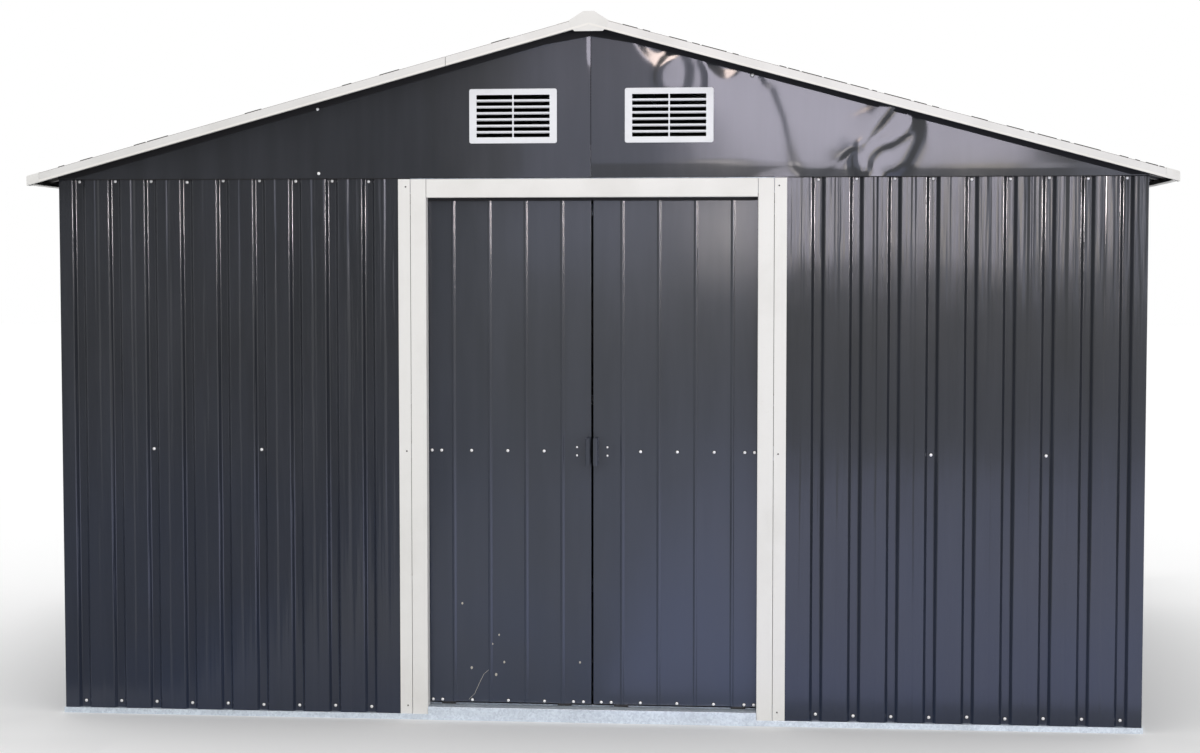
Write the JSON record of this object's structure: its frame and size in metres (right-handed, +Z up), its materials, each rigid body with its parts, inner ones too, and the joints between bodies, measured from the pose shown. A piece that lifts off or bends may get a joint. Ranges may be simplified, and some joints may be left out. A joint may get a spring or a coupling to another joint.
{
  "type": "metal storage shed",
  "caption": "Apex storage shed of corrugated dark steel sheet on galvanised rails, with white trims, gable vents and a pair of sliding doors.",
  "frame": {"origin": "on the ground, in the middle of the shed's plan", "axes": "+X along the front towards the right-hand corner seen from in front, -Y out of the door front, +Z up"},
  "size_m": [3.263, 2.503, 2.0319],
  "materials": {
    "wall_dark": "glossy anthracite coil-coated steel sheet",
    "door_dark": "glossy anthracite coil-coated steel sheet",
    "roof_dark": "glossy anthracite coil-coated steel sheet",
    "trim_white": "satin off-white coil-coated steel",
    "cap_white": "off-white moulded plastic",
    "vent_white": "white moulded plastic",
    "zinc": "galvanised steel",
    "runner_black": "black moulded plastic"
  },
  "bodies": {
    "shed": {"base_rail_front": "zinc", "base_rail_rear": "zinc", "base_rail_left": "zinc", "base_rail_right": "zinc", "door_sill": "zinc", "door_guide_channels": "zinc", "door_top_track": "zinc", "front_wall_left": "wall_dark", "front_wall_right": "wall_dark", "left_wall": "wall_dark", "right_wall": "wall_dark", "rear_wall": "wall_dark", "corner_posts": "zinc", "left_door_post": "trim_white", "right_door_post": "trim_white", "door_post_covers": "trim_white", "door_header": "trim_white", "top_rail_front": "zinc", "top_rail_rear": "zinc", "eave_rails": "zinc", "wall_mid_rails": "zinc", "front_gable_left": "wall_dark", "front_gable_right": "wall_dark", "rear_gable": "wall_dark", "gable_vents": "vent_white", "roof_panel_left": "roof_dark", "roof_panel_right": "roof_dark", "ridge_cap": "trim_white", "ridge_beam": "zinc", "roof_purlins": "zinc", "front_fascia_left": "trim_white", "front_fascia_right": "trim_white", "rear_fascias": "trim_white", "eave_trim_left": "trim_white", "eave_trim_right": "trim_white", "ridge_end_caps": "cap_white", "eave_corner_caps": "cap_white"},
    "left_door": {"left_door_panel": "door_dark", "left_door_braces": "zinc", "left_door_handle": "door_dark", "left_door_runners": "runner_black"},
    "right_door": {"right_door_panel": "door_dark", "right_door_braces": "zinc", "right_door_handle": "door_dark", "right_door_runners": "runner_black"}
  },
  "joints": [
    {"name": "left_door_slide", "type": "slide", "parent": "shed", "child": "left_door", "axis": [-1, 0, 0], "range_m": [0, 0.4]},
    {"name": "right_door_slide", "type": "slide", "parent": "shed", "child": "right_door", "axis": [1, 0, 0], "range_m": [0, 0.4]}
  ]
}
